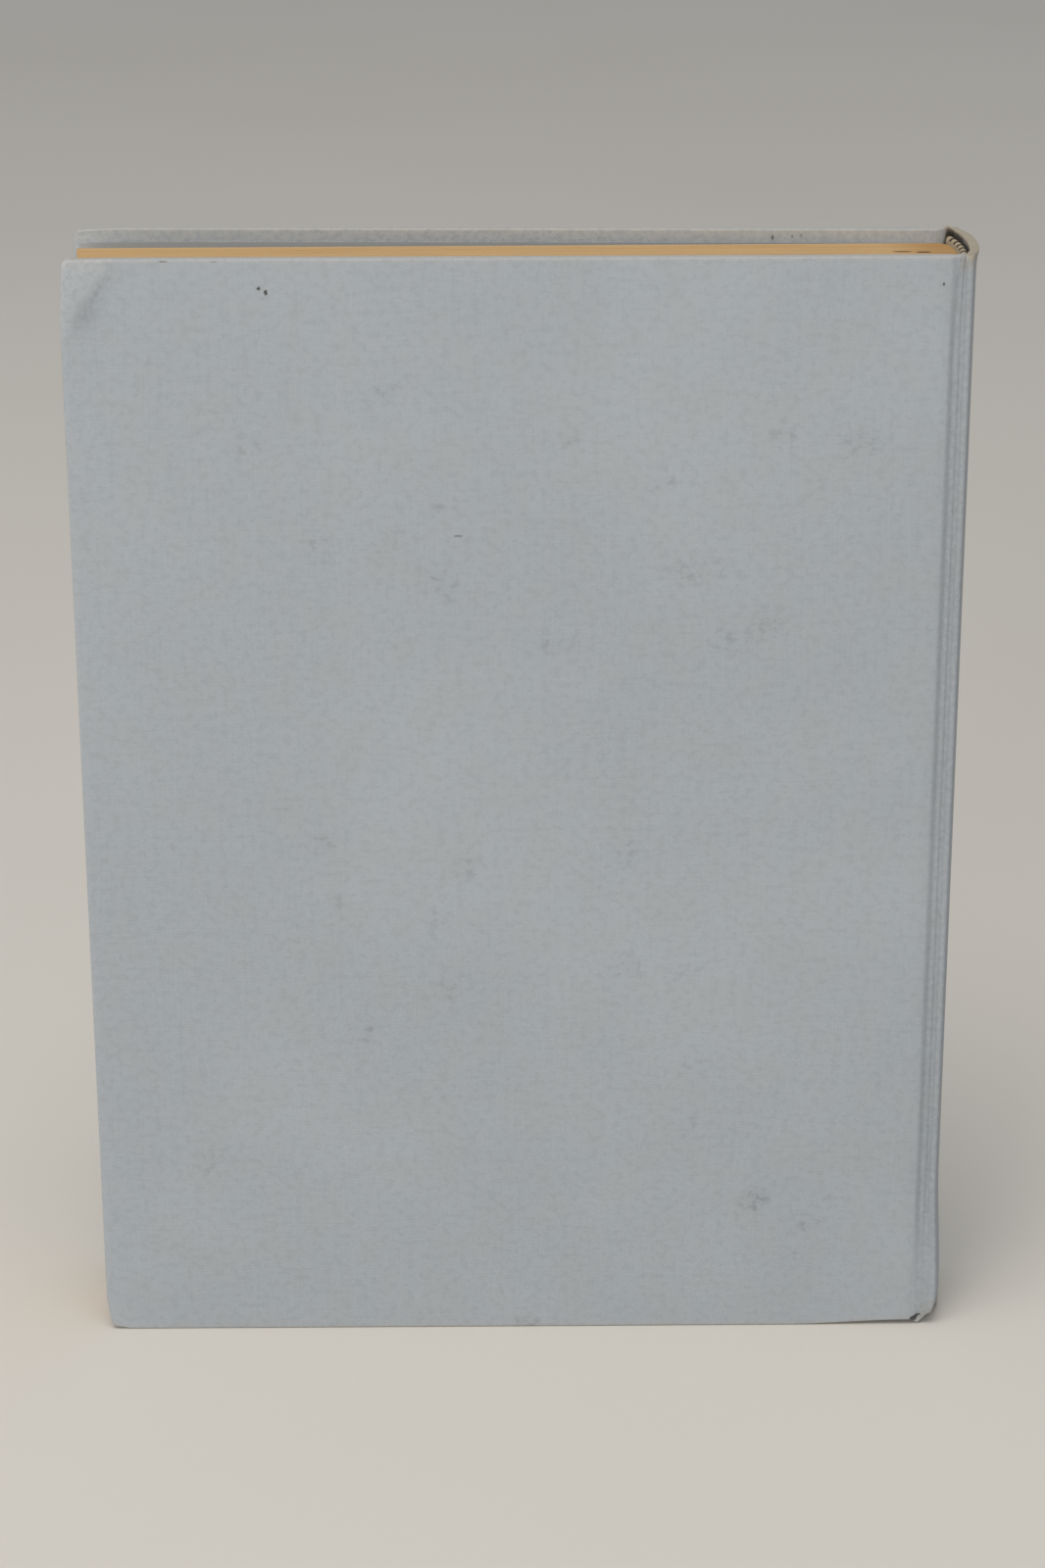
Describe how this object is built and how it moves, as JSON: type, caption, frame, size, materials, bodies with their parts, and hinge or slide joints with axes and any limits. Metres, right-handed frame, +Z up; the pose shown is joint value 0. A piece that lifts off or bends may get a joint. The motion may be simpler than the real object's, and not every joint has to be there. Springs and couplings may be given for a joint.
{
  "type": "hardcover book",
  "caption": "Cloth-covered hardcover book with a rounded hollow spine, pressed joint grooves, wound headbands and two hinged covers; it stands on its tail with the front cover slightly ajar.",
  "frame": {"origin": "middle of the underside of the book as it stands on its tail", "axes": "+Z up from tail to head, +X towards the spine, -Y out of the back cover, +Y out of the front cover"},
  "size_m": [0.219, 0.038, 0.286],
  "materials": {
    "cover_cloth": "fine plain-weave book cloth, pale grey-blue, rubbed and lightly soiled",
    "page_edges": "trimmed page edges, toned tan with age",
    "endpaper": "plain uncoated cream paper",
    "band_thread": "light and dark wound thread",
    "lining": "open mull glued under paper",
    "inlay_card": "plain card",
    "binder_board": "plain grey board"
  },
  "bodies": {
    "book_block": {"text_block": "page_edges", "back_flyleaf": "endpaper", "front_flyleaf": "endpaper", "spine_lining": "lining", "head_band": "band_thread", "tail_band": "band_thread", "spine_inlay": "inlay_card", "spine_cloth": "cover_cloth"},
    "back_cover": {"back_board": "binder_board", "back_cloth": "cover_cloth", "back_pastedown": "endpaper"},
    "front_cover": {"front_board": "binder_board", "front_cloth": "cover_cloth", "front_pastedown": "endpaper"}
  },
  "joints": [
    {"name": "back_cover_hinge", "type": "hinge", "parent": "book_block", "child": "back_cover", "pos_m": [0.10293, -0.01898, 0.143], "axis": [0, 0, 1], "range_deg": [0, 175]},
    {"name": "front_cover_hinge", "type": "hinge", "parent": "book_block", "child": "front_cover", "pos_m": [0.10293, 0.01392, 0.143], "axis": [0, 0, -1], "range_deg": [-1.8, 173.5]}
  ]
}
